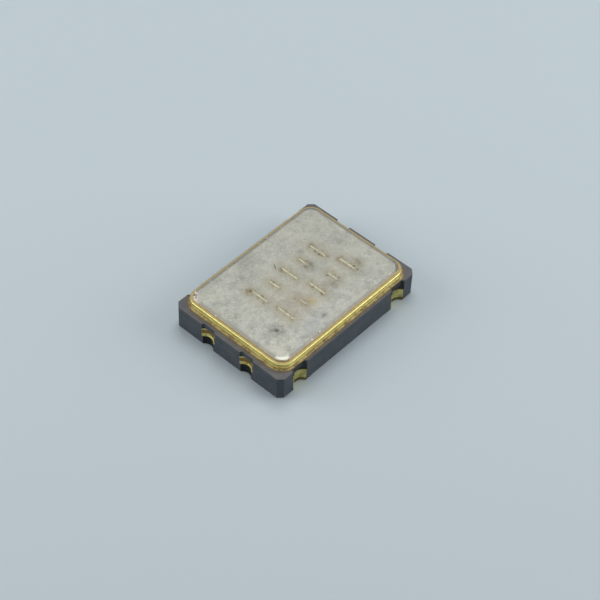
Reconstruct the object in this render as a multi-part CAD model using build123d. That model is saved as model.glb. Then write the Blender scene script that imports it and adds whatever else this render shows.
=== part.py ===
from build123d import *
import math
import os

# Surface-mount crystal oscillator in a seam-sealed ceramic package.
# Millimetres. +X runs along the long side and +Z points up. The origin lies under the
# middle of the package, on the plane of its four solder lands.

# Package outline
package_length = 7.0
package_width = 5.0
corner_cut = 0.18

# Fired thickness of each ceramic layer, from the bottom up
floor_layer = 0.24
die_layer = 0.14
bond_layer = 0.12
spacer_layer = 0.24
frame_layer = 0.22

# Printed and plated metal
land_thickness = 0.02
plating = 0.02
print_thickness = 0.012

# Castellations: part holes punched in the edge of each layer before firing. The top layer
# has a shallow slot that stays clear of the seal, the layers below it a round hole whose
# centre lies just outside the edge.
terminal_pitch = 5.08
side_pad_pitch = 1.80
long_side_offset = 0.14
short_side_offset = 0.19
plated_hole_radius = 0.36
bare_hole_radius = 0.38
lower_hole_radius = 0.31
slot_length = 0.60
slot_depth = 0.09
slot_corner = 0.08

# Solder lands on the underside
land_length = 1.40
land_width = 1.15
land_corner = 0.10

# Cavity, one opening for each step
frame_opening = (5.44, 3.64)
frame_opening_corner = 0.28
bond_opening_ends = (-1.70, 2.05)
bond_opening_width = 2.90
bond_opening_corner = 0.20
die_well = (1.90, 1.60)
die_well_corner = 0.15
die_centre_x = 0.20

# Seal ring, its braze and the lid
ring_length = 6.44
ring_width = 4.64
ring_bar = 0.40
ring_height = 0.27
ring_corner = 0.50
ring_inner_corner = 0.30
ring_edge_round = 0.03
braze_thickness = 0.02
braze_foot = 0.08
braze_inner_foot = 0.05
braze_toe = 0.012
lid_length = 6.24
lid_width = 4.44
lid_thickness = 0.08
lid_corner = 0.42
weld_track_width = 0.12
weld_track_drop = 0.025

# Quartz blank, its electrodes and its two mounts
blank_length = 4.80
blank_width = 2.20
blank_thickness = 0.07
blank_bevel = 0.015
blank_end_x = -2.50
electrode_film = 0.01
electrode_length = 2.40
electrode_width = 1.50
electrode_corner = 0.25
electrode_centre_x = 0.10
electrode_tab_width = 0.36
electrode_end_pad = 0.50
mount_offset_y = 0.74
mount_pad = (0.80, 0.72)
mount_pad_x = -2.30
adhesive_gap = 0.028
adhesive_centre_x = -2.45
adhesive_radius = 0.24
adhesive_height = 0.14

# Oscillator chip and its bonds
chip_length = 1.25
chip_width = 1.05
chip_thickness = 0.13
chip_attach = 0.018
chip_attach_margin = 0.05
chip_paddle = (1.56, 1.34)
finger_size = (0.28, 0.42)
finger_centre_y = 1.12
finger_pitch = 0.58
bond_pad_pitch = 0.42
bond_pad_inset = 0.10
wire_diameter = 0.03
wire_sides = 8
ball_diameter = 0.08
ball_height = 0.03
wire_rise = 0.12
wire_bend = 0.05
stitch_length = 0.09
stitch_width = 0.05

# Levels worked out from the thicknesses
underside_z = land_thickness
die_floor_z = underside_z + floor_layer
bond_shelf_z = die_floor_z + die_layer
terminal_metal_z = bond_shelf_z + bond_layer
crystal_shelf_z = terminal_metal_z + spacer_layer
ceramic_top_z = crystal_shelf_z + frame_layer
ring_bottom_z = ceramic_top_z + braze_thickness
ring_top_z = ring_bottom_z + ring_height
lid_top_z = ring_top_z + lid_thickness
blank_bottom_z = crystal_shelf_z + print_thickness + adhesive_gap
blank_top_z = blank_bottom_z + blank_thickness
chip_bottom_z = die_floor_z + print_thickness + chip_attach
chip_top_z = chip_bottom_z + chip_thickness


def slab(length, width, corner, bottom, top, centre_x=0.0, centre_y=0.0):
    """A flat plate with rounded corners between two levels."""
    outline = RectangleRounded(length, width, corner)
    placed = Pos(centre_x, centre_y, bottom) * outline
    return extrude(placed, amount=top - bottom, dir=(0, 0, 1))


def block(length, width, bottom, top, centre_x=0.0, centre_y=0.0):
    """A plain rectangular plate between two levels."""
    middle = (bottom + top) / 2
    return Pos(centre_x, centre_y, middle) * Box(length, width, top - bottom)


def upright_rod(radius, bottom, top, x, y):
    """A round rod standing between two levels."""
    middle = (bottom + top) / 2
    return Pos(x, y, middle) * Cylinder(radius, top - bottom)


def tube(outer, inner, bottom, top, x, y):
    """An upright tube between two levels."""
    return upright_rod(outer, bottom, top, x, y) - upright_rod(inner, bottom, top, x, y)


def package_envelope():
    """The package body with flat-cut upright corners, before anything is cut from it."""
    body = block(package_length, package_width, underside_z, ceramic_top_z)
    return chamfer(body.edges().filter_by(Axis.Z), corner_cut)


# Hole centres lie just outside the long sides for the terminals and outside the short
# sides for the side pads. Terminals are numbered anticlockwise, seen from above, from
# the corner at -X -Y.
terminal_y = package_width / 2 + long_side_offset
terminal_x = terminal_pitch / 2
terminal_holes = [(-terminal_x, -terminal_y), (terminal_x, -terminal_y),
                  (terminal_x, terminal_y), (-terminal_x, terminal_y)]
side_pad_x = package_length / 2 + short_side_offset
side_pad_y = side_pad_pitch / 2
side_pad_holes = [(-side_pad_x, side_pad_y), (-side_pad_x, -side_pad_y),
                  (side_pad_x, -side_pad_y), (side_pad_x, side_pad_y)]


def ceramic_base():
    """Co-fired alumina base: stepped cavity, edge holes and a crystal shelf, in one piece."""
    base = package_envelope()
    for x, y in terminal_holes:
        face_y = math.copysign(package_width / 2, y)
        base -= upright_rod(plated_hole_radius, underside_z, terminal_metal_z, x, y)
        base -= upright_rod(bare_hole_radius, terminal_metal_z, crystal_shelf_z, x, y)
        base -= slab(slot_length, 2 * slot_depth, slot_corner,
                     crystal_shelf_z, ceramic_top_z, x, face_y)
    for x, y in side_pad_holes:
        face_x = math.copysign(package_length / 2, x)
        base -= upright_rod(lower_hole_radius, underside_z, bond_shelf_z, x, y)
        base -= upright_rod(plated_hole_radius, bond_shelf_z, crystal_shelf_z, x, y)
        base -= slab(2 * slot_depth, slot_length, slot_corner,
                     crystal_shelf_z, ceramic_top_z, face_x, y)
    bond_start, bond_end = bond_opening_ends
    bond_length = bond_end - bond_start
    bond_middle = (bond_start + bond_end) / 2
    base -= slab(*frame_opening, frame_opening_corner, crystal_shelf_z, ceramic_top_z)
    base -= slab(bond_length, bond_opening_width, bond_opening_corner,
                 bond_shelf_z, crystal_shelf_z, bond_middle)
    base -= slab(*die_well, die_well_corner, die_floor_z, bond_shelf_z, die_centre_x)
    return base


def terminal(x, y):
    """Solder land with the plated wall of its edge hole and the lip on the layer above it."""
    wall_radius = plated_hole_radius - plating
    wall = tube(plated_hole_radius, wall_radius, underside_z, terminal_metal_z, x, y)
    lip_top = terminal_metal_z + print_thickness
    lip = tube(bare_hole_radius, wall_radius, terminal_metal_z, lip_top, x, y)
    metal = (wall + lip) & package_envelope()
    side = math.copysign(1, y)
    land_y = side * (package_width - land_width) / 2
    land = slab(land_length, land_width, land_corner, 0, land_thickness, x, land_y)
    land -= upright_rod(wall_radius, 0, land_thickness, x, y)
    return land + metal


def side_pad(x, y):
    """Plated wall of a short-side hole, with the ledge of metal on the layer below it."""
    wall_radius = plated_hole_radius - plating
    wall = tube(plated_hole_radius, wall_radius, bond_shelf_z, crystal_shelf_z, x, y)
    ledge_top = bond_shelf_z + print_thickness
    ledge = tube(wall_radius, lower_hole_radius, bond_shelf_z, ledge_top, x, y)
    return (wall + ledge) & package_envelope()


def ring_frame(bottom, top, outside=0.0, inside=0.0):
    """The seal ring's outline as a square-edged frame, widened outwards and inwards."""
    opening_length = ring_length - 2 * ring_bar
    opening_width = ring_width - 2 * ring_bar
    outer = slab(ring_length + 2 * outside, ring_width + 2 * outside,
                 ring_corner + outside, bottom, top)
    opening = slab(opening_length - 2 * inside, opening_width - 2 * inside,
                   ring_inner_corner - inside, bottom, top)
    return outer - opening


def seal_ring():
    """Stamped frame brazed on the base; the lid is welded to its top."""
    ring = ring_frame(ring_bottom_z, ring_top_z)
    outer_top = ring.faces().sort_by(Axis.Z)[-1].outer_wire().edges()
    return fillet(outer_top, ring_edge_round)


def shoulders(bead, level):
    """The two flat steps of the braze at one level, the one inside the ring first."""
    margin = braze_toe / 10
    flat = bead.faces().filter_by_position(Axis.Z, level - margin, level + margin)
    return flat.filter_by(Axis.Z).sort_by(lambda face: face.bounding_box().size.X)


def braze_fillet():
    """Silver-copper braze: a thin joint under the ring, with a hollow bead round its outside
    and a small sloping one inside."""
    toe_z = ceramic_top_z + braze_toe
    bead = ring_frame(ceramic_top_z, toe_z, braze_foot, braze_inner_foot)
    bead += ring_frame(ceramic_top_z, ring_top_z)
    outside_root = shoulders(bead, toe_z)[-1].inner_wires()[0].edges()
    bead = fillet(outside_root, braze_foot - braze_toe)
    inside_root = shoulders(bead, toe_z)[0].outer_wire().edges()
    bead = chamfer(inside_root, braze_inner_foot - braze_toe)
    return bead - ring_frame(ring_bottom_z, ring_top_z)


def lid():
    """Flat lid whose rim was pressed down a little by the welding rollers."""
    plate = slab(lid_length, lid_width, lid_corner, ring_top_z, lid_top_z)
    upper_face = plate.faces().sort_by(Axis.Z)[-1]
    rim = upper_face.outer_wire().edges()
    return chamfer(rim, weld_track_width, weld_track_drop, reference=upper_face)


def quartz_blank():
    """Thin rectangular quartz plate held at one end."""
    middle = blank_end_x + blank_length / 2
    blank = block(blank_length, blank_width, blank_bottom_z, blank_top_z, middle)
    return chamfer(blank.edges().group_by(Axis.X)[0] + blank.edges().group_by(Axis.X)[-1],
                   blank_bevel)


def electrode_sheet(bottom, side):
    """Active area with a tab that runs to one corner of the held end of the blank."""
    top = bottom + electrode_film
    area = slab(electrode_length, electrode_width, electrode_corner, bottom, top,
                electrode_centre_x)
    flat_start = blank_end_x + blank_bevel
    tab_end = electrode_centre_x - electrode_length / 4
    tab_middle = (flat_start + tab_end) / 2
    tab_y = side * (electrode_width - electrode_tab_width) / 2
    tab = block(tab_end - flat_start, electrode_tab_width, bottom, top, tab_middle, tab_y)
    pad_length = electrode_end_pad - blank_bevel
    pad = block(pad_length, electrode_end_pad, bottom, top, flat_start + pad_length / 2,
                side * mount_offset_y)
    return area + tab + pad


def electrode_bottom():
    """Film on the underside of the blank; its corner rests on adhesive dot 2."""
    return electrode_sheet(blank_bottom_z - electrode_film, -1)


def electrode_top():
    """Film on the upper side, led round the end of the blank to adhesive dot 1."""
    wrap_length = electrode_film + electrode_end_pad
    wrap_middle = blank_end_x + (electrode_end_pad - electrode_film) / 2
    wrap = block(wrap_length, electrode_end_pad, blank_bottom_z - electrode_film,
                 blank_top_z + electrode_film, wrap_middle, mount_offset_y)
    return electrode_sheet(blank_top_z, 1) + (wrap - quartz_blank())


def mount_pad_print(side):
    """Gold-plated pad on the crystal shelf."""
    top = crystal_shelf_z + print_thickness
    return slab(*mount_pad, land_corner, crystal_shelf_z, top, mount_pad_x,
                side * mount_offset_y)


def adhesive_dot(side, neighbours):
    """Dot of silver-filled adhesive that grips one corner of the blank."""
    pad_top = crystal_shelf_z + print_thickness
    y = side * mount_offset_y
    ball_radius = (adhesive_radius**2 + adhesive_height**2) / (2 * adhesive_height)
    ball_z = pad_top + adhesive_height - ball_radius
    dot = Pos(adhesive_centre_x, y, ball_z) * Sphere(ball_radius)
    dot = dot & block(1, 1, pad_top, ring_top_z, adhesive_centre_x, y)
    for neighbour in neighbours:
        dot -= neighbour
    return dot


def chip():
    """Silicon die of the oscillator circuit."""
    return block(chip_length, chip_width, chip_bottom_z, chip_top_z, die_centre_x)


def chip_attach_layer():
    """Adhesive under the die, squeezed out a little all round."""
    margin = 2 * chip_attach_margin
    bottom = die_floor_z + print_thickness
    return slab(chip_length + margin, chip_width + margin, land_corner, bottom,
                chip_bottom_z, die_centre_x)


def chip_paddle_print():
    """Gold-plated paddle on the floor of the die well."""
    return slab(*chip_paddle, land_corner, die_floor_z, die_floor_z + print_thickness,
                die_centre_x)


def bond_finger(column, side):
    """Gold-plated finger on the shelf beside the die well."""
    x = die_centre_x + column * finger_pitch
    return block(*finger_size, bond_shelf_z, bond_shelf_z + print_thickness, x,
                 side * finger_centre_y)


def bond_wire(column, side):
    """Gold wire from a ball on the die to a stitch on its finger."""
    ball_x = die_centre_x + column * bond_pad_pitch
    ball_y = side * (chip_width / 2 - bond_pad_inset)
    stitch_x = die_centre_x + column * finger_pitch
    stitch_y = side * finger_centre_y
    finger_top = bond_shelf_z + print_thickness
    run_z = finger_top + wire_diameter / 2
    crest_z = chip_top_z + ball_height + wire_rise
    reach = Vector(stitch_x - ball_x, stitch_y - ball_y, 0)
    along = reach.normalized()
    ball_point = Vector(ball_x, ball_y, chip_top_z + ball_height / 2)
    crest_point = Vector(ball_x, ball_y, crest_z)
    touch_point = Vector(stitch_x, stitch_y, run_z) - along * stitch_length
    end_point = Vector(stitch_x, stitch_y, run_z)
    route = FilletPolyline(ball_point, crest_point, touch_point, end_point, radius=wire_bend)
    start = Plane(origin=route @ 0, z_dir=route % 0)
    section = start * RegularPolygon(wire_diameter / 2, wire_sides)
    wire = sweep(section, path=route)
    ball = upright_rod(ball_diameter / 2, chip_top_z, chip_top_z + ball_height, ball_x, ball_y)
    ball = chamfer(ball.edges().group_by(Axis.Z)[-1], ball_height / 3)
    heading = math.degrees(math.atan2(along.Y, along.X))
    foot = Rot(0, 0, heading) * Box(stitch_length, stitch_width, wire_diameter / 2)
    foot_middle = end_point - along * stitch_length / 2
    foot = Pos(foot_middle.X, foot_middle.Y, finger_top + wire_diameter / 4) * foot
    return wire + ball + foot


# Every sub-part by the name of its file
parts = {"ceramic_base": ceramic_base(), "braze_fillet": braze_fillet(),
         "seal_ring": seal_ring(), "lid": lid(), "quartz_blank": quartz_blank(),
         "electrode_top": electrode_top(), "electrode_bottom": electrode_bottom(),
         "ic_die": chip(), "die_attach": chip_attach_layer(), "die_paddle": chip_paddle_print()}
for number, (x, y) in enumerate(terminal_holes, start=1):
    parts[f"terminal_{number}"] = terminal(x, y)
for number, (x, y) in enumerate(side_pad_holes, start=1):
    parts[f"side_pad_{number}"] = side_pad(x, y)
held_pieces = [parts["quartz_blank"], parts["electrode_top"], parts["electrode_bottom"]]
for number, side in enumerate((1, -1), start=1):
    parts[f"crystal_pad_{number}"] = mount_pad_print(side)
    parts[f"mount_adhesive_{number}"] = adhesive_dot(side, held_pieces)
bond_places = [(column, side) for side in (-1, 1) for column in (-1, 0, 1)]
for number, (column, side) in enumerate(bond_places, start=1):
    parts[f"bond_finger_{number}"] = bond_finger(column, side)
    parts[f"bond_wire_{number}"] = bond_wire(column, side)

os.makedirs("parts", exist_ok=True)
for name, shape in parts.items():
    export_step(shape, f"parts/{name}.step")
    print(f"{name:18s} {shape.volume:9.5f} mm3, {len(shape.solids())} solid")
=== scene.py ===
import bmesh
import bpy
from mathutils import Matrix, Vector


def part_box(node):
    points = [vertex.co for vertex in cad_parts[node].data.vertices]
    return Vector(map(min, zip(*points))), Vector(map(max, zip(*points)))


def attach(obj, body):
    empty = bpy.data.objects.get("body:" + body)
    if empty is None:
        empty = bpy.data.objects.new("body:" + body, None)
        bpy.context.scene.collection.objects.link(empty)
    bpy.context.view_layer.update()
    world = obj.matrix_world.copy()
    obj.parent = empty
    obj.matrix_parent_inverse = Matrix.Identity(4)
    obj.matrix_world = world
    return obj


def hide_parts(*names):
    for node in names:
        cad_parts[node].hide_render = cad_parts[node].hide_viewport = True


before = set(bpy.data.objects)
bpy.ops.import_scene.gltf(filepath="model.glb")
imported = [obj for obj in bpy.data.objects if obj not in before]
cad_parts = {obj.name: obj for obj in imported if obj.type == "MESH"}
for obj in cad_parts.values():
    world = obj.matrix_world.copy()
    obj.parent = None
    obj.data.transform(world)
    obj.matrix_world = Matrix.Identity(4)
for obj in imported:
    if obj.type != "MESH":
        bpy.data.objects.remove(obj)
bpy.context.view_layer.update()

mm = 0.001

# Table and light. The oscillator stands on a pale table under a soft lamp, with a larger one
# low at the left and one at the right of the view, so that no small bright spot shows in the
# metal. What the metal mirrors besides is the table and a white surround.
bpy.context.scene.view_settings.view_transform = "Standard"

table_half_width = 400
table_gap = 0.002
table_mesh = bmesh.new()
bmesh.ops.create_grid(table_mesh, x_segments=1, y_segments=1, size=table_half_width * mm)
bmesh.ops.translate(table_mesh, verts=table_mesh.verts, vec=(0, 0, -table_gap * mm))
table = bpy.data.objects.new("table", bpy.data.meshes.new("table"))
table_mesh.to_mesh(table.data)
table_mesh.free()
bpy.context.scene.collection.objects.link(table)
table_finish = bpy.data.materials.new("pale_table")
table_finish.use_nodes = True
table_shader = table_finish.node_tree.nodes["Principled BSDF"]
table_shader.inputs["Base Color"].default_value = (0.67, 0.77, 0.82, 1)
table_shader.inputs["Roughness"].default_value = 0.85
table.data.materials.append(table_finish)


def soft_lamp(name, place, size, power):
    """A square lamp that faces the middle of the oscillator; place and size are in mm."""
    light = bpy.data.lights.new(name, "AREA")
    light.size = size * mm
    light.energy = power
    lamp = bpy.data.objects.new(name, light)
    lamp.location = Vector(place) * mm
    lamp.rotation_euler = (-lamp.location).to_track_quat("-Z", "Y").to_euler()
    lamp.visible_camera = False
    bpy.context.scene.collection.objects.link(lamp)


soft_lamp("overhead_lamp", (24, 18, 74), 50, 0.019)
soft_lamp("left_lamp", (-52, 57, 32), 60, 0.026)
soft_lamp("right_lamp", (52, -57, 32), 60, 0.026)

# The surround looks brighter, to the camera and in the metal, than the light that it gives
surround_light = 0.24
surround_seen = 0.72
world = bpy.data.worlds.new("white_surround")
bpy.context.scene.world = world
world.use_nodes = True
surround = world.node_tree.nodes["Background"]
surround.inputs["Color"].default_value = (0.97, 0.985, 1.0, 1)
light_path = world.node_tree.nodes.new("ShaderNodeLightPath")
seen = world.node_tree.nodes.new("ShaderNodeMath")
seen.operation = "MAXIMUM"
strength = world.node_tree.nodes.new("ShaderNodeMapRange")
strength.inputs["To Min"].default_value = surround_light
strength.inputs["To Max"].default_value = surround_seen
world.node_tree.links.new(light_path.outputs["Is Camera Ray"], seen.inputs[0])
world.node_tree.links.new(light_path.outputs["Is Glossy Ray"], seen.inputs[1])
world.node_tree.links.new(seen.outputs[0], strength.inputs["Value"])
world.node_tree.links.new(strength.outputs["Result"], surround.inputs["Strength"])

# View. The camera looks down on the corner between a short side, with two edge holes, and a
# long side, with two terminals, as the photograph does.
camera_right = Vector((0.6752, -0.7371, 0.0300))
camera_up = Vector((0.5354, 0.5176, 0.6674))
camera_back = Vector((-0.5074, -0.4345, 0.7441))
camera_place = Vector((-30.606, -26.388, 45.36)) * mm
lens = bpy.data.cameras.new("camera")
lens.sensor_width = 36
lens.lens = 103.2
lens.clip_start = 1 * mm
lens.clip_end = 2
camera = bpy.data.objects.new("camera", lens)
turn = Matrix((camera_right, camera_up, camera_back)).transposed().to_4x4()
camera.matrix_world = Matrix.Translation(camera_place) @ turn
bpy.context.scene.collection.objects.link(camera)
bpy.context.scene.camera = camera


# Ceramic base. Five sheets of dark alumina were punched, printed, stacked and fired into one
# body. The surface is matt with pale grains, the joints of the sheets show as fine lines round
# the sides, and the upper face is painted paler, partly as painted light on the face that looks
# up and partly as its own paler tone, and browner, with a stain along the foot of the ring. The
# bare walls in the edge holes are painted dark as painted shade.
def new_finish(name, colour, metallic, roughness):
    """A material with one Principled shader. Returns the material, its tree and shader."""
    material = bpy.data.materials.new(name)
    material.use_nodes = True
    shader = material.node_tree.nodes["Principled BSDF"]
    shader.inputs["Base Color"].default_value = (*colour, 1)
    shader.inputs["Metallic"].default_value = metallic
    shader.inputs["Roughness"].default_value = roughness
    return material, material.node_tree, shader


def add_node(tree, kind, inputs=None, **settings):
    """Adds a node, sets its options, and sets or links each input that is given."""
    node = tree.nodes.new(kind)
    for name, value in settings.items():
        setattr(node, name, value)
    for name, value in (inputs or {}).items():
        if isinstance(value, bpy.types.NodeSocket):
            tree.links.new(value, node.inputs[name])
        else:
            node.inputs[name].default_value = value
    return node


def combine(tree, operation, first, second=0.0):
    """One step of arithmetic on two numbers."""
    return add_node(tree, "ShaderNodeMath", {0: first, 1: second},
                    operation=operation).outputs[0]


def vector_step(tree, operation, first, second=(0, 0, 0)):
    """One step of arithmetic on two places or directions."""
    return add_node(tree, "ShaderNodeVectorMath", {0: first, 1: second},
                    operation=operation).outputs[0]


def lay_over(tree, mask, under, over, cover=1.0):
    """The colour over, laid on the colour under where the mask is 1, as thickly as cover says."""
    if cover < 1.0:
        mask = combine(tree, "MULTIPLY", mask, cover)
    under = (*under, 1) if isinstance(under, tuple) else under
    over = (*over, 1) if isinstance(over, tuple) else over
    return add_node(tree, "ShaderNodeMix", {0: mask, 6: under, 7: over},
                    data_type="RGBA").outputs[2]


def ramp(tree, value, start, end, low=0.0, high=1.0):
    """Runs smoothly from low to high as the value goes from start to end."""
    return add_node(tree, "ShaderNodeMapRange",
                    {"Value": value, "From Min": start, "From Max": end, "To Min": low,
                     "To Max": high}, interpolation_type="SMOOTHSTEP").outputs["Result"]


def millimetres(tree):
    """The place on the piece, in millimetres."""
    place = add_node(tree, "ShaderNodeTexCoord").outputs["Object"]
    return add_node(tree, "ShaderNodeVectorMath", {0: place, "Scale": 1 / mm},
                    operation="SCALE").outputs[0]


def height_of(tree, place):
    """The height of a place over the table, in millimetres."""
    return add_node(tree, "ShaderNodeSeparateXYZ", {0: place}).outputs["Z"]


def distance(tree, place, centre):
    """How far a place is from a centre."""
    return add_node(tree, "ShaderNodeVectorMath", {0: place, 1: centre},
                    operation="DISTANCE").outputs["Value"]


def bumps(tree, shader, height, depth):
    """Gives the shader a relief that is depth millimetres deep where the height is 1."""
    bump = add_node(tree, "ShaderNodeBump", {"Height": height, "Distance": depth * mm})
    tree.links.new(bump.outputs["Normal"], shader.inputs["Normal"])


def new_group(name, inputs):
    """A group that takes a place and more numbers, and gives a mask. Returns it and its ends."""
    group = bpy.data.node_groups.new(name, "ShaderNodeTree")
    group.interface.new_socket(name="Place", in_out="INPUT", socket_type="NodeSocketVector")
    for socket in inputs:
        group.interface.new_socket(name=socket, in_out="INPUT", socket_type="NodeSocketFloat")
    group.interface.new_socket(name="Mask", in_out="OUTPUT", socket_type="NodeSocketFloat")
    taken = group.nodes.new("NodeGroupInput").outputs
    given = group.nodes.new("NodeGroupOutput").inputs
    return group, taken, given


def use_group(tree, group, place, **numbers):
    """Places a group in a material. A number's name has _ for each space of its socket."""
    inputs = {name.replace("_", " ").title(): value for name, value in numbers.items()}
    inputs["Place"] = place
    return add_node(tree, "ShaderNodeGroup", inputs, node_tree=group).outputs["Mask"]


# Soft patches of uneven size, for dirt, tarnish, cloudy plating and grain
patches_group, taken, given = new_group("patches", ["Per Millimetre", "Low", "High"])
noise = add_node(patches_group, "ShaderNodeTexNoise",
                 {"Vector": taken["Place"], "Scale": taken["Per Millimetre"],
                  "Detail": 5.0, "Roughness": 0.6})
patch = ramp(patches_group, noise.outputs["Fac"], taken["Low"], taken["High"])
patches_group.links.new(patch, given["Mask"])

# Small round pits and specks with gaps between them; share is the part of them that is there
pits_group, taken, given = new_group("pits", ["Per Millimetre", "Size", "Share"])
cells = add_node(pits_group, "ShaderNodeTexVoronoi",
                 {"Vector": taken["Place"], "Scale": taken["Per Millimetre"]})
pit = ramp(pits_group, cells.outputs["Distance"], taken["Size"], 0.0)
chance = add_node(pits_group, "ShaderNodeSeparateColor", {0: cells.outputs["Color"]})
there = combine(pits_group, "LESS_THAN", chance.outputs[0], taken["Share"])
pits_group.links.new(combine(pits_group, "MULTIPLY", pit, there), given["Mask"])

# How far a place is in from the edge of a plate with round corners, seen from above. The
# centre of the corner's arc lies higher than any place, so that heights don't count.
over_everything = 99.0
rim_group, taken, given = new_group("rim distance", ["Half Length", "Half Width", "Corner"])
arc_x = combine(rim_group, "SUBTRACT", taken["Half Length"], taken["Corner"])
arc_y = combine(rim_group, "SUBTRACT", taken["Half Width"], taken["Corner"])
arc_centre = add_node(rim_group, "ShaderNodeCombineXYZ",
                      {"X": arc_x, "Y": arc_y, "Z": over_everything}).outputs[0]
beyond = vector_step(rim_group, "SUBTRACT",
                     vector_step(rim_group, "ABSOLUTE", taken["Place"]), arc_centre)
outside = vector_step(rim_group, "MAXIMUM", beyond)
arc_reach = distance(rim_group, outside, (0, 0, 0))
sides = add_node(rim_group, "ShaderNodeSeparateXYZ", {0: beyond}).outputs
straight = combine(rim_group, "MINIMUM",
                   combine(rim_group, "MAXIMUM", sides["X"], sides["Y"]), 0.0)
from_edge = combine(rim_group, "SUBTRACT", taken["Corner"],
                    combine(rim_group, "ADD", arc_reach, straight))
rim_group.links.new(from_edge, given["Mask"])


def patches(tree, place, per_millimetre, low, high):
    """A mask of soft patches."""
    return use_group(tree, patches_group, place, per_millimetre=per_millimetre, low=low,
                     high=high)


def pits(tree, place, per_millimetre, size, share):
    """A mask of scattered pits."""
    return use_group(tree, pits_group, place, per_millimetre=per_millimetre, size=size,
                     share=share)


ceramic_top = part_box("ceramic_base")[1].z / mm
ring_low, ring_high = (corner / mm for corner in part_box("seal_ring"))
ring_size = ring_high - ring_low
ring_corner = 0.50


def in_from_ring_edge(tree, place):
    """How far a place is in from the outside of the seal ring."""
    return use_group(tree, rim_group, place, half_length=ring_size.x / 2,
                     half_width=ring_size.y / 2, corner=ring_corner)


def sheet_joint_lines(tree, height):
    """Fine lines round the body at the joints of the sheets. The highest one is the deepest."""
    joint_levels = (0.26, 0.40, 0.52, 0.76)
    joint_depths = (0.25, 0.25, 0.35, 1.00)
    line_half_width = 0.020
    line_core = 0.005
    lines = 0.0
    for level, depth in zip(joint_levels, joint_depths):
        away = combine(tree, "ABSOLUTE", combine(tree, "SUBTRACT", height, level))
        line = ramp(tree, away, line_half_width, line_core, 0.0, depth)
        lines = combine(tree, "ADD", lines, line)
    return lines


def paint_shade_in_hole_walls(tree, place, height, colour):
    """Painted shade on the bare walls in the edge holes, above each terminal and below each side
    pad.
    """
    quarter = vector_step(tree, "ABSOLUTE", place)
    quarter = vector_step(tree, "MULTIPLY", quarter, (1, 1, 0))
    hole_above_terminal = ((2.54, 2.64, 0.0), 0.385, ceramic_top, 0.6)
    hole_below_side_pad = ((3.69, 0.90, 0.0), 0.315, 0.40, 0.92)
    # Painted shade: the walls of each hole are painted nearly black where shade falls in the
    # recess.
    for centre, radius, highest, darkness in (hole_above_terminal, hole_below_side_pad):
        away = distance(tree, quarter, centre)
        wall = combine(tree, "MULTIPLY", ramp(tree, away, radius + 0.010, radius, 0.0, darkness),
                       ramp(tree, height, highest + 0.015, highest + 0.005))
        colour = lay_over(tree, wall, colour, (0.006, 0.008, 0.009))
    return colour


def ceramic_finish():
    """Dark alumina, cloudy, with pale grains, sheet joints, an upper face painted paler (partly
    painted light) and painted shade on the walls in the edge holes.
    """
    material, tree, shader = new_finish("dark_alumina", (0.08, 0.09, 0.10), 0.0, 0.66)
    shader.inputs["Specular IOR Level"].default_value = 0.18
    place = millimetres(tree)
    height = height_of(tree, place)
    colour = lay_over(tree, patches(tree, place, 1.6, 0.35, 0.68),
                      (0.072, 0.087, 0.101), (0.094, 0.107, 0.119))
    # The upper face is painted paler: partly painted light on the face that looks up, partly its
    # own paler tone.
    upper_face = ramp(tree, height, ceramic_top - 0.015, ceramic_top - 0.002)
    lit_paler_top = lay_over(tree, patches(tree, place, 2.4, 0.38, 0.66),
                     (0.166, 0.164, 0.176), (0.206, 0.198, 0.202))
    colour = lay_over(tree, upper_face, colour, lit_paler_top)
    colour = lay_over(tree, patches(tree, place, 16.0, 0.56, 0.76), colour,
                      (0.142, 0.150, 0.160))
    colour = lay_over(tree, pits(tree, place, 22.0, 0.30, 0.25), colour, (0.042, 0.048, 0.054))
    spread = combine(tree, "MULTIPLY", patches(tree, place, 4.5, 0.25, 0.80), 0.14)
    near_ring = combine(tree, "ADD", in_from_ring_edge(tree, place), spread)
    stain = combine(tree, "MULTIPLY", ramp(tree, near_ring, -0.07, 0.00, 0.0, 0.5), upper_face)
    colour = lay_over(tree, stain, colour, (0.19, 0.15, 0.08))
    lines = sheet_joint_lines(tree, height)
    colour = lay_over(tree, lines, colour, (0.045, 0.052, 0.060))
    colour = paint_shade_in_hole_walls(tree, place, height, colour)
    tree.links.new(colour, shader.inputs["Base Color"])
    grain = patches(tree, place, 45.0, 0.30, 0.75)
    bumps(tree, shader, combine(tree, "SUBTRACT", grain, lines), 0.004)
    return material


def dress(node, material):
    """Gives a piece from the frame its finish."""
    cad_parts[node].data.materials.clear()
    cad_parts[node].data.materials.append(material)


dress("ceramic_base", ceramic_finish())


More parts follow.
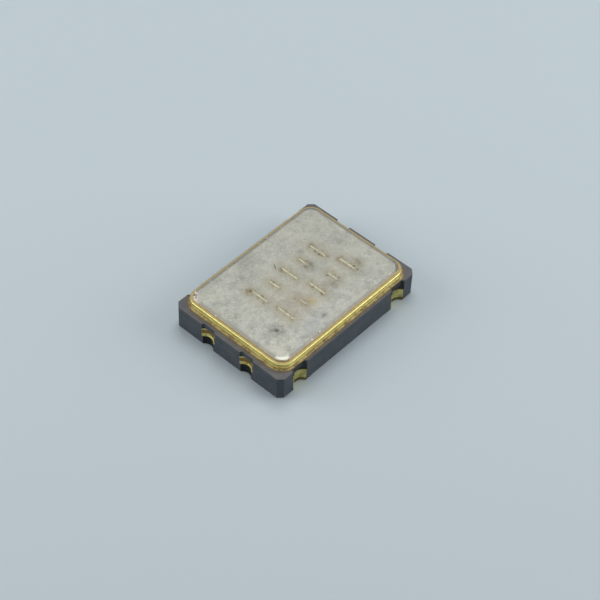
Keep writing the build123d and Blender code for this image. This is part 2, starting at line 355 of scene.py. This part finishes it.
# Terminals. Printed tungsten in the edge holes and on the underside, fired with the ceramic
# and then plated with nickel and gold. The gold is olive and browner where the plate is thin,
# and its lowest band is painted dark as painted shade near the table.
def gold_finish(name, bright, deep, tarnish, roughness, bands=()):
    """Cloudy, tarnished gold plate. A band has a lower and an upper level, and a colour."""
    material, tree, shader = new_finish(name, bright, 1.0, roughness)
    place = millimetres(tree)
    colour = lay_over(tree, patches(tree, place, 3.5, 0.40, 0.65), bright, deep)
    sway = combine(tree, "MULTIPLY", patches(tree, place, 5.0, 0.25, 0.80), 0.08)
    swaying = combine(tree, "ADD", height_of(tree, place), sway)
    for lower, upper, band_colour in bands:
        band = combine(tree, "MULTIPLY", ramp(tree, swaying, lower - 0.02, lower + 0.03),
                       ramp(tree, swaying, upper + 0.02, upper - 0.03))
        colour = lay_over(tree, band, colour, band_colour)
    colour = lay_over(tree, patches(tree, place, 9.0, 0.56, 0.70), colour, tarnish)
    colour = lay_over(tree, pits(tree, place, 14.0, 0.28, 0.22), colour, tarnish)
    tree.links.new(colour, shader.inputs["Base Color"])
    rough = patches(tree, place, 7.0, 0.25, 0.80)
    tree.links.new(ramp(tree, rough, 0.0, 1.0, roughness - 0.08, roughness + 0.16),
                   shader.inputs["Roughness"])
    bumps(tree, shader, patches(tree, place, 26.0, 0.25, 0.80), 0.004)
    return material


# The band at the bottom of each terminal is painted shade near the table.
terminal_gold = gold_finish("terminal_gold", (0.65, 0.62, 0.26), (0.40, 0.33, 0.12),
                            (0.17, 0.12, 0.05), 0.50,
                            bands=[(-0.10, 0.16, (0.15, 0.13, 0.05))])
for number in range(1, 5):
    dress(f"terminal_{number}", terminal_gold)

# Side pads. The plated walls of the short-side holes, with a bright ledge of metal on the
# layer below. They are used for testing and are never soldered. The middle of the wall is
# painted dark brown as painted shade.
# The band at the middle of the wall is painted shade.
side_pad_gold = gold_finish("side_pad_gold", (0.72, 0.69, 0.36), (0.60, 0.54, 0.24),
                            (0.30, 0.20, 0.06), 0.36,
                            bands=[(0.54, 0.74, (0.30, 0.18, 0.04))])
for number in range(1, 5):
    dress(f"side_pad_{number}", side_pad_gold)

# Braze. Silver-copper solder that ran along the foot of the ring in a hollow bead, and was
# gold plated with it. The plate is thin and stained there, so it looks dull and brown.
dress("braze_fillet", gold_finish("braze_gold", (0.42, 0.35, 0.16), (0.26, 0.20, 0.10),
                                  (0.16, 0.12, 0.07), 0.66))

# Inside. The quartz blank with its silver electrodes, held at one end by silver-filled
# adhesive, above the chip with its gold wires. All of it is sealed under the lid.
quartz, quartz_tree, quartz_shader = new_finish("quartz", (0.86, 0.89, 0.89), 0.0, 0.22)
quartz_shader.inputs["Transmission Weight"].default_value = 0.8
quartz_shader.inputs["IOR"].default_value = 1.54
lapped = patches(quartz_tree, millimetres(quartz_tree), 30.0, 0.3, 0.7)
bumps(quartz_tree, quartz_shader, lapped, 0.002)
dress("quartz_blank", quartz)


def plain_metal_finish(name, bright, dull, roughness):
    """A clean metal film or wire with slight clouding."""
    material, tree, shader = new_finish(name, bright, 1.0, roughness)
    place = millimetres(tree)
    colour = lay_over(tree, patches(tree, place, 5.0, 0.35, 0.70), bright, dull)
    tree.links.new(colour, shader.inputs["Base Color"])
    bumps(tree, shader, patches(tree, place, 40.0, 0.30, 0.75), 0.001)
    return material


silver_film = plain_metal_finish("silver_film", (0.85, 0.84, 0.80), (0.72, 0.70, 0.65), 0.25)
clean_gold = plain_metal_finish("clean_gold", (0.83, 0.60, 0.22), (0.70, 0.48, 0.16), 0.22)
adhesive, adhesive_tree, adhesive_shader = new_finish("adhesive", (0.42, 0.41, 0.39), 0.4, 0.5)
flakes = pits(adhesive_tree, millimetres(adhesive_tree), 45.0, 0.45, 0.5)
flaked = lay_over(adhesive_tree, flakes, (0.36, 0.35, 0.33), (0.70, 0.69, 0.66))
adhesive_tree.links.new(flaked, adhesive_shader.inputs["Base Color"])
bumps(adhesive_tree, adhesive_shader, flakes, 0.003)
chip_finish, chip_tree, chip_shader = new_finish("silicon", (0.10, 0.11, 0.13), 0.3, 0.25)
blocks = add_node(chip_tree, "ShaderNodeTexBrick",
                  {"Vector": millimetres(chip_tree), "Color1": (0.10, 0.13, 0.15, 1),
                   "Color2": (0.17, 0.14, 0.17, 1), "Mortar": (0.05, 0.05, 0.07, 1),
                   "Scale": 5.0, "Mortar Size": 0.03})
chip_tree.links.new(blocks.outputs["Color"], chip_shader.inputs["Base Color"])

for side in ("top", "bottom"):
    dress(f"electrode_{side}", silver_film)
for number in (1, 2):
    dress(f"mount_adhesive_{number}", adhesive)
    dress(f"crystal_pad_{number}", clean_gold)
dress("die_attach", adhesive)
dress("die_paddle", clean_gold)
dress("ic_die", chip_finish)
for number in range(1, 7):
    dress(f"bond_finger_{number}", clean_gold)
    dress(f"bond_wire_{number}", clean_gold)

# Seal ring. A frame stamped from iron-nickel strip, brazed to the base and gold plated. Its
# top outer edge is rounded over and polished, with a painted highlight on it over a thin line
# of painted shade. The side is satin, browner at the foot, and the flat top beside the lid was
# browned by the weld. The two far sides are painted duller as painted shade.
same_height = 1e-6
sharp_angle = 0.7


def rounded_block(length, width, corner, bottom, top):
    """A flat block with round upright corners. Sizes are in mm."""
    block = bmesh.new()
    bmesh.ops.create_cube(block, size=1)
    bmesh.ops.scale(block, verts=block.verts, vec=(length * mm, width * mm, (top - bottom) * mm))
    bmesh.ops.translate(block, verts=block.verts, vec=(0, 0, (bottom + top) / 2 * mm))
    upright = [edge for edge in block.edges
               if abs(edge.verts[0].co.z - edge.verts[1].co.z) > same_height]
    bmesh.ops.bevel(block, geom=upright, offset=corner * mm, offset_type="OFFSET", segments=14,
                    profile=0.5, affect="EDGES", material=-1)
    return block


def level_faces(block):
    """The flat level faces of a mesh, from the lowest up."""
    flat = [face for face in block.faces if abs(face.normal.z) > 0.99]
    return sorted(flat, key=lambda face: face.calc_center_median().z)


def finish_piece(name, block, material, node):
    """Makes an object of the mesh, smooth but for its sharp edges, in place of a CAD node."""
    mesh = bpy.data.meshes.new(name)
    block.to_mesh(mesh)
    block.free()
    mesh.shade_smooth()
    mesh.set_sharp_from_angle(angle=sharp_angle)
    mesh.materials.append(material)
    piece = bpy.data.objects.new(name, mesh)
    bpy.context.scene.collection.objects.link(piece)
    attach(piece, "root")
    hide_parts(node)


ring_bar = 0.40
ring_inner_corner = 0.30
ring_edge_round = 0.035
ring = rounded_block(ring_size.x, ring_size.y, ring_corner, ring_low.z, ring_high.z)
opening = rounded_block(ring_size.x - 2 * ring_bar, ring_size.y - 2 * ring_bar,
                        ring_inner_corner, ring_low.z, ring_high.z)
bmesh.ops.reverse_faces(opening, faces=opening.faces)
opening_mesh = bpy.data.meshes.new("opening")
opening.to_mesh(opening_mesh)
opening.free()
ring.from_mesh(opening_mesh)
bpy.data.meshes.remove(opening_mesh)
ring.normal_update()

# The level faces of the block and of the opening give way to two flat frames between their
# rims. The first two rims are the lower ones.
flat_faces = level_faces(ring)
rims = [list(face.edges) for face in flat_faces]
bmesh.ops.delete(ring, geom=flat_faces, context="FACES_ONLY")
for first in (0, 2):
    bmesh.ops.bridge_loops(ring, edges=rims[first] + rims[first + 1])
bmesh.ops.recalc_face_normals(ring, faces=ring.faces)


def on_outer_wall(vert):
    """Whether a point of the ring lies nearer its outside than its opening."""
    middle_x = (ring_size.x - ring_bar) / 2 * mm
    middle_y = (ring_size.y - ring_bar) / 2 * mm
    return abs(vert.co.x) > middle_x or abs(vert.co.y) > middle_y


outer_top = [edge for edge in ring.edges
             if all(on_outer_wall(v) and v.co.z > ring_high.z * mm - same_height
                    for v in edge.verts)
             and len(edge.link_faces) == 2
             and abs(edge.link_faces[0].normal.z - edge.link_faces[1].normal.z) > 0.5]
bmesh.ops.bevel(ring, geom=outer_top, offset=ring_edge_round * mm, offset_type="OFFSET",
                segments=6, profile=0.5, affect="EDGES", material=-1)


def ring_finish():
    """Gold plate with a painted highlight at the top edge, satin on the side, brown at the foot
    and weld, and painted shade under the highlight and on the far sides.
    """
    material, tree, shader = new_finish("ring_gold", (0.80, 0.70, 0.26), 1.0, 0.5)
    place = millimetres(tree)
    height = height_of(tree, place)
    colour = lay_over(tree, patches(tree, place, 2.2, 0.40, 0.66),
                      (0.96, 0.88, 0.34), (0.86, 0.76, 0.27))
    # Browner towards the foot, with brown patches
    sway = combine(tree, "MULTIPLY", patches(tree, place, 3.5, 0.35, 0.65), 0.20)
    foot = ramp(tree, combine(tree, "SUBTRACT", height, sway), 1.12, 0.92, 0.0, 0.5)
    colour = lay_over(tree, foot, colour, (0.84, 0.68, 0.29))
    colour = lay_over(tree, patches(tree, place, 6.0, 0.50, 0.64), colour,
                      (0.68, 0.52, 0.18))
    # A painted highlight on the round and the band just under it, over a thin line of painted
    # shade
    highlight_foot = ring_high.z - ring_edge_round - 0.045
    painted_shade_line = combine(tree, "MULTIPLY",
                        ramp(tree, height, highlight_foot - 0.035, highlight_foot - 0.015),
                        ramp(tree, height, highlight_foot + 0.015, highlight_foot))
    colour = lay_over(tree, painted_shade_line, colour, (0.36, 0.30, 0.07), cover=0.5)
    bright = ramp(tree, height, highlight_foot, highlight_foot + 0.020)
    colour = lay_over(tree, bright, colour, (0.88, 0.79, 0.31))
    # The flat top, browned by the weld
    inward = in_from_ring_edge(tree, place)
    browned = ramp(tree, inward, 0.30 * ring_edge_round, 0.65 * ring_edge_round)
    colour = lay_over(tree, browned, colour, (0.40, 0.32, 0.12))
    weld_line = ramp(tree, inward, 0.075, 0.095)
    colour = lay_over(tree, weld_line, colour, (0.44, 0.34, 0.20))
    # The two far sides are painted duller, as painted shade in what their metal mirrors, as the
    # photograph shows
    outward = add_node(tree, "ShaderNodeSeparateXYZ", {0: place}).outputs
    far_side = combine(tree, "MAXIMUM",
                       ramp(tree, outward["X"], ring_size.x / 2 - 0.5, ring_size.x / 2 - 0.2),
                       ramp(tree, outward["Y"], ring_size.y / 2 - 0.5, ring_size.y / 2 - 0.2))
    dull = combine(tree, "MULTIPLY", far_side, patches(tree, place, 2.5, 0.25, 0.55))
    colour = lay_over(tree, dull, colour, (0.38, 0.31, 0.16), cover=0.8)
    tree.links.new(colour, shader.inputs["Base Color"])
    # Satin, rougher at the foot, and polished under the painted highlight where it is not painted
    # dull or browned
    satin = ramp(tree, patches(tree, place, 8.0, 0.25, 0.80), 0.0, 1.0, 0.48, 0.64)
    satin = combine(tree, "ADD", satin, combine(tree, "MULTIPLY", foot, 0.3))
    shaded_and_browned = combine(tree, "MAXIMUM", dull, browned)
    polish = combine(tree, "MULTIPLY", bright, combine(tree, "SUBTRACT", 1.0, shaded_and_browned))
    roughness = combine(tree, "SUBTRACT", satin, combine(tree, "MULTIPLY", polish, 0.22))
    tree.links.new(roughness, shader.inputs["Roughness"])
    bumps(tree, shader, patches(tree, place, 24.0, 0.25, 0.80), 0.003)
    return material


finish_piece("seal_ring_dressed", ring, ring_finish(), "seal_ring")

# Lid. Thin nickel-plated iron-nickel sheet, seam welded round its rim. The middle is matt and
# cloudy, with stains. The welding rollers left the rim a little lower and polished its
# corners. Two rows of plain ticks are burnt into the plating.
lid_low, lid_high = (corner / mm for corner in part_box("lid"))
lid_size = lid_high - lid_low
lid_corner = 0.42
lid_edge_round = 0.014
weld_track = 0.12
weld_drop = 0.025
lid = rounded_block(lid_size.x, lid_size.y, lid_corner, lid_low.z, lid_high.z - weld_drop)
top_face = level_faces(lid)[-1]
bmesh.ops.inset_region(lid, faces=[top_face], thickness=weld_track * mm)
bmesh.ops.translate(lid, verts=top_face.verts, vec=(0, 0, weld_drop * mm))
lid.normal_update()
shoulders = [edge for edge in lid.edges
             if len(edge.link_faces) == 2
             and edge.link_faces[0].normal.angle(edge.link_faces[1].normal) > 0.1
             and abs(edge.verts[0].co.z - edge.verts[1].co.z) < same_height
             and edge.verts[0].co.z > (lid_low.z + 0.01) * mm]
bmesh.ops.bevel(lid, geom=shoulders, offset=lid_edge_round * mm, offset_type="OFFSET",
                segments=3, profile=0.5, affect="EDGES", material=-1)

# Distance from the nearest of a row of plain upright ticks
ticks_group, taken, given = new_group("row of ticks", ["First", "Pitch", "Count", "Row",
                                                       "Half Height"])
spot = add_node(ticks_group, "ShaderNodeSeparateXYZ", {0: taken["Place"]}).outputs
steps = combine(ticks_group, "DIVIDE",
                combine(ticks_group, "SUBTRACT", spot["X"], taken["First"]), taken["Pitch"])
last = combine(ticks_group, "SUBTRACT", taken["Count"], 1.0)
step = combine(ticks_group, "MINIMUM",
               combine(ticks_group, "MAXIMUM", combine(ticks_group, "ROUND", steps), 0.0), last)
across = combine(ticks_group, "MULTIPLY", combine(ticks_group, "SUBTRACT", steps, step),
                 taken["Pitch"])
along = combine(ticks_group, "ABSOLUTE",
                combine(ticks_group, "SUBTRACT", spot["Y"], taken["Row"]))
past_end = combine(ticks_group, "MAXIMUM",
                   combine(ticks_group, "SUBTRACT", along, taken["Half Height"]), 0.0)
squared = combine(ticks_group, "ADD", combine(ticks_group, "MULTIPLY", across, across),
                  combine(ticks_group, "MULTIPLY", past_end, past_end))
ticks_group.links.new(combine(ticks_group, "SQRT", squared), given["Mask"])


def lid_clouds(tree, place):
    """The colour of the cloudy plating, from broad clouds to fine grain."""
    colour = lay_over(tree, patches(tree, place, 0.9, 0.35, 0.68),
                      (0.392, 0.388, 0.334), (0.328, 0.336, 0.300))
    finer = ((4.5, 0.46, 0.76, (0.255, 0.262, 0.240)), (9.0, 0.48, 0.74, (0.455, 0.448, 0.388)),
             (20.0, 0.48, 0.74, (0.262, 0.265, 0.238)))
    for per_millimetre, low, high, tint in finer:
        colour = lay_over(tree, patches(tree, place, per_millimetre, low, high), colour, tint)
    return lay_over(tree, pits(tree, place, 14.0, 0.34, 0.16), colour, (0.245, 0.247, 0.220))


def from_nearest_tick(tree, place):
    """How far a place is from the nearest tick of two rows, each of long and short ticks."""
    long_tick = 0.34
    short_tick = 0.20
    rows = ((-1.44, 1.50, 3.0, 0.42, long_tick), (-0.69, 1.50, 2.0, 0.42, short_tick),
            (-1.38, 1.60, 3.0, -0.74, long_tick), (-0.58, 1.60, 2.0, -0.74, short_tick))
    nearest = 9.0
    for first, pitch, count, row, half_height in rows:
        reach = use_group(tree, ticks_group, place, first=first, pitch=pitch, count=count,
                          row=row, half_height=half_height)
        nearest = combine(tree, "MINIMUM", reach, nearest)
    return nearest


def burn_ticks(tree, place, wobble, colour):
    """Lays the ticks and the brown heat tint round them. Returns the colour and their strokes."""
    nearest_tick = from_nearest_tick(tree, place)
    uneven = combine(tree, "ADD", nearest_tick, combine(tree, "MULTIPLY", wobble, 0.30))
    colour = lay_over(tree, ramp(tree, uneven, 0.70, 0.22, 0.0, 0.6), colour,
                      (0.272, 0.256, 0.194))
    halo = combine(tree, "MULTIPLY", ramp(tree, uneven, 0.36, 0.12),
                   patches(tree, place, 6.0, 0.36, 0.60))
    colour = lay_over(tree, halo, colour, (0.205, 0.185, 0.118), cover=0.75)
    burnt = combine(tree, "MULTIPLY", ramp(tree, nearest_tick, 0.20, 0.06),
                    patches(tree, place, 4.5, 0.52, 0.62))
    colour = lay_over(tree, burnt, colour, (0.130, 0.105, 0.045), cover=0.8)
    worn = patches(tree, place, 6.0, 0.34, 0.54)
    stroke = combine(tree, "MULTIPLY", ramp(tree, nearest_tick, 0.040, 0.018), worn)
    return lay_over(tree, stroke, colour, (0.520, 0.480, 0.340), cover=0.9), stroke


def soil_lid(tree, place, wobble, colour):
    """Lays wispy smudges, scorched spots and one dark stain near the front corner."""
    grime = (0.135, 0.138, 0.112)
    scorch = (0.150, 0.110, 0.045)
    brown_haze = (0.290, 0.258, 0.200)
    blue_haze = (0.285, 0.295, 0.300)
    # Each spot is its place, how far it reaches, how well it covers, and its colour
    spots = ((-0.75, -0.75, 1.00, 0.65, brown_haze), (-0.90, -1.75, 0.90, 0.60, blue_haze),
             (-2.17, -1.05, 0.46, 0.90, grime), (0.82, 0.13, 0.40, 0.80, grime),
             (0.65, -0.95, 0.40, 0.60, grime), (-2.70, 0.40, 0.32, 0.50, grime),
             (-0.65, 1.80, 0.60, 0.40, grime), (-1.90, 1.98, 0.28, 0.50, grime),
             (-1.30, 1.45, 0.32, 0.40, grime), (1.10, 0.90, 0.26, 0.55, grime),
             (2.45, 0.20, 0.36, 0.40, grime), (-0.50, -1.75, 0.22, 0.75, grime),
             (-1.55, 0.84, 0.30, 0.60, scorch), (2.22, -0.95, 0.32, 0.60, scorch),
             (-0.32, -0.97, 0.32, 0.60, (0.330, 0.250, 0.080)))
    wisps = ramp(tree, patches(tree, place, 7.0, 0.36, 0.60), 0.0, 1.0, 0.35, 1.0)
    drift = combine(tree, "MULTIPLY", wobble, 0.26)
    for x, y, spot_reach, cover, tint in spots:
        away = combine(tree, "ADD", distance(tree, place, (x, y, lid_high.z)), drift)
        smudge = combine(tree, "MULTIPLY", wisps,
                         ramp(tree, away, spot_reach + 0.10, 0.15, 0.0, cover))
        colour = lay_over(tree, smudge, colour, tint)
    stain_core = distance(tree, place, (-2.17, -1.07, lid_high.z))
    return lay_over(tree, ramp(tree, stain_core, 0.12, 0.03, 0.0, 0.7), colour,
                    (0.070, 0.073, 0.060))


def drop_hair(tree, place, colour):
    """Lays a short dark hair, which is a single slanting tick."""
    moved = add_node(tree, "ShaderNodeMapping",
                     {"Vector": place, "Location": (0.05, -1.0, 0.0)}).outputs[0]
    turned = add_node(tree, "ShaderNodeMapping",
                      {"Vector": moved, "Rotation": (0.0, 0.0, 0.55)}).outputs[0]
    hair = use_group(tree, ticks_group, turned, first=0.0, pitch=1.0, count=1.0, row=0.0,
                     half_height=0.10)
    return lay_over(tree, ramp(tree, hair, 0.030, 0.010, 0.0, 0.8), colour,
                    (0.110, 0.112, 0.100))


def scatter_specks(tree, place, colour):
    """Lays a few broad grey smudges and groups of dark specks."""
    smudge = patches(tree, place, 1.6, 0.54, 0.76)
    colour = lay_over(tree, smudge, colour, (0.225, 0.230, 0.208), cover=0.4)
    speck = combine(tree, "MULTIPLY", patches(tree, place, 2.0, 0.50, 0.62),
                    pits(tree, place, 9.0, 0.40, 0.34))
    return lay_over(tree, speck, colour, (0.150, 0.150, 0.132), cover=0.6)


def weld_rim(tree, place, colour):
    """Lays the weld track, browned at its edge, painted light on the lid's edge wall and painted
    glints along the track. Returns the colour, the track and the glints.
    """
    inward = use_group(tree, rim_group, place, half_length=lid_size.x / 2,
                       half_width=lid_size.y / 2, corner=lid_corner)
    track = ramp(tree, inward, weld_track + 0.05, weld_track - 0.03)
    colour = lay_over(tree, track, colour, (0.250, 0.242, 0.208), cover=0.6)
    browned = combine(tree, "ADD", inward,
                      combine(tree, "MULTIPLY", patches(tree, place, 6.0, 0.30, 0.70), 0.05))
    colour = lay_over(tree, ramp(tree, browned, 0.090, 0.035, 0.0, 0.85), colour,
                      (0.320, 0.285, 0.215))
    # The lid's edge wall is painted pale as painted light, where it stands in shade beside the
    # ring.
    wall_top = lid_high.z - weld_drop
    painted_light_on_edge_wall = ramp(tree, height_of(tree, place), wall_top, wall_top - 0.015)
    colour = lay_over(tree, painted_light_on_edge_wall, colour, (0.600, 0.550, 0.410))
    # Painted glints lie in bright specks along the edge, and most of all on the left corner
    left_corner = distance(tree, place, (-2.93, 2.05, lid_high.z))
    left_corner = combine(tree, "MULTIPLY", ramp(tree, left_corner, 0.42, 0.16),
                          patches(tree, place, 9.0, 0.42, 0.58))
    edge = ramp(tree, inward, 0.10, 0.06)
    painted_glints = combine(tree, "MULTIPLY", edge, pits(tree, place, 8.0, 0.42, 0.26))
    painted_glints = combine(tree, "MAXIMUM", painted_glints, combine(tree, "MULTIPLY", left_corner, track))
    return lay_over(tree, painted_glints, colour, (0.660, 0.605, 0.550)), track, painted_glints


def polished_track(tree, place, track, painted_glints):
    """A mask of the polished corners of the track and of small spots along it."""
    quarter = vector_step(tree, "ABSOLUTE", place)
    corner_inset = 0.14
    corner_spot = distance(tree, quarter, (lid_size.x / 2 - corner_inset,
                                           lid_size.y / 2 - corner_inset, lid_high.z))
    polished = combine(tree, "MAXIMUM", ramp(tree, corner_spot, 0.34, 0.20),
                       patches(tree, place, 4.0, 0.60, 0.66))
    polished = combine(tree, "MULTIPLY", polished, track)
    return combine(tree, "MULTIPLY", polished, combine(tree, "SUBTRACT", 1.0, painted_glints))


def lid_finish():
    """Matt nickel with cloudy plating, stains, a weld track and plain tick marks."""
    material, tree, shader = new_finish("lid_nickel", (0.42, 0.42, 0.36), 1.0, 0.45)
    place = millimetres(tree)
    wobble = patches(tree, place, 4.0, 0.2, 0.8)
    colour = lid_clouds(tree, place)
    colour, stroke = burn_ticks(tree, place, wobble, colour)
    colour = soil_lid(tree, place, wobble, colour)
    colour = drop_hair(tree, place, colour)
    colour = scatter_specks(tree, place, colour)
    colour, track, painted_glints = weld_rim(tree, place, colour)
    tree.links.new(colour, shader.inputs["Base Color"])
    polished = polished_track(tree, place, track, painted_glints)
    matt = ramp(tree, patches(tree, place, 4.0, 0.25, 0.80), 0.0, 1.0, 0.44, 0.60)
    roughness = combine(tree, "SUBTRACT", matt, combine(tree, "MULTIPLY", polished, 0.34))
    tree.links.new(roughness, shader.inputs["Roughness"])
    grain = patches(tree, place, 22.0, 0.25, 0.80)
    calm = combine(tree, "SUBTRACT", 1.0, combine(tree, "MULTIPLY", polished, 0.8))
    relief = combine(tree, "MULTIPLY", grain, calm)
    relief = combine(tree, "SUBTRACT", relief, combine(tree, "MULTIPLY", stroke, 1.5))
    bumps(tree, shader, relief, 0.003)
    return material


finish_piece("lid_dressed", lid, lid_finish(), "lid")
